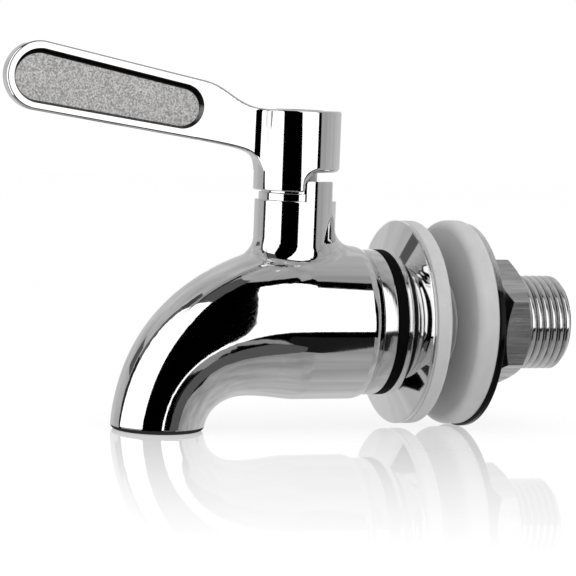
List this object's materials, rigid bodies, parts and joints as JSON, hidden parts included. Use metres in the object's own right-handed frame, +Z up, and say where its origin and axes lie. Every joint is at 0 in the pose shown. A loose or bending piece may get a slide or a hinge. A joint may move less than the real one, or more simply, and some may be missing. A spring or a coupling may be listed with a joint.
{
  "type": "bottle tap",
  "caption": "Polished steel drinks-container tap: quarter-turn ball valve with a paddle lever, a down-curved spout and a threaded shank with flange, silicone washers and a lock nut.",
  "frame": {"origin": "on the shank's axis, on the container wall's outer face (rear face of the front silicone washer)", "axes": "+X along the shank into the container, +Z up; spout and lever point to -X"},
  "size_m": [0.1024, 0.036, 0.065],
  "materials": {
    "polished_steel": "mirror-polished stainless steel",
    "shank_steel": "turned and bright stainless steel",
    "plain_steel": "machined stainless steel",
    "ball_steel": "lapped bright",
    "silicone": "translucent white, satin",
    "black_rubber": "matt black",
    "seat_plastic": "white, waxy"
  },
  "bodies": {
    "tap_body": {"spout_body": "polished_steel", "inlet_shank": "shank_steel", "shank_seal": "black_rubber", "front_ball_seat": "seat_plastic", "rear_ball_seat": "seat_plastic", "stem_thrust_washer": "seat_plastic", "stem_gland": "plain_steel", "collar_gasket": "black_rubber", "wall_flange": "polished_steel", "front_wall_washer": "silicone", "rear_wall_washer": "silicone", "backing_washer": "plain_steel"},
    "handle": {"lever": "polished_steel", "handle_screw": "plain_steel", "screw_washer": "plain_steel", "valve_stem": "plain_steel", "lower_stem_seal": "black_rubber", "upper_stem_seal": "black_rubber", "valve_ball": "ball_steel"},
    "nut": {"lock_nut": "plain_steel"}
  },
  "joints": [
    {"name": "handle_turn", "type": "hinge", "parent": "tap_body", "child": "handle", "pos_m": [-0.0228, 0, 0], "axis": [0, 0, 1], "range_deg": [-90, 0]},
    {"name": "nut_travel", "type": "slide", "parent": "tap_body", "child": "nut", "axis": [1, 0, 0], "range_m": [-0.0039, 0.0088]}
  ]
}
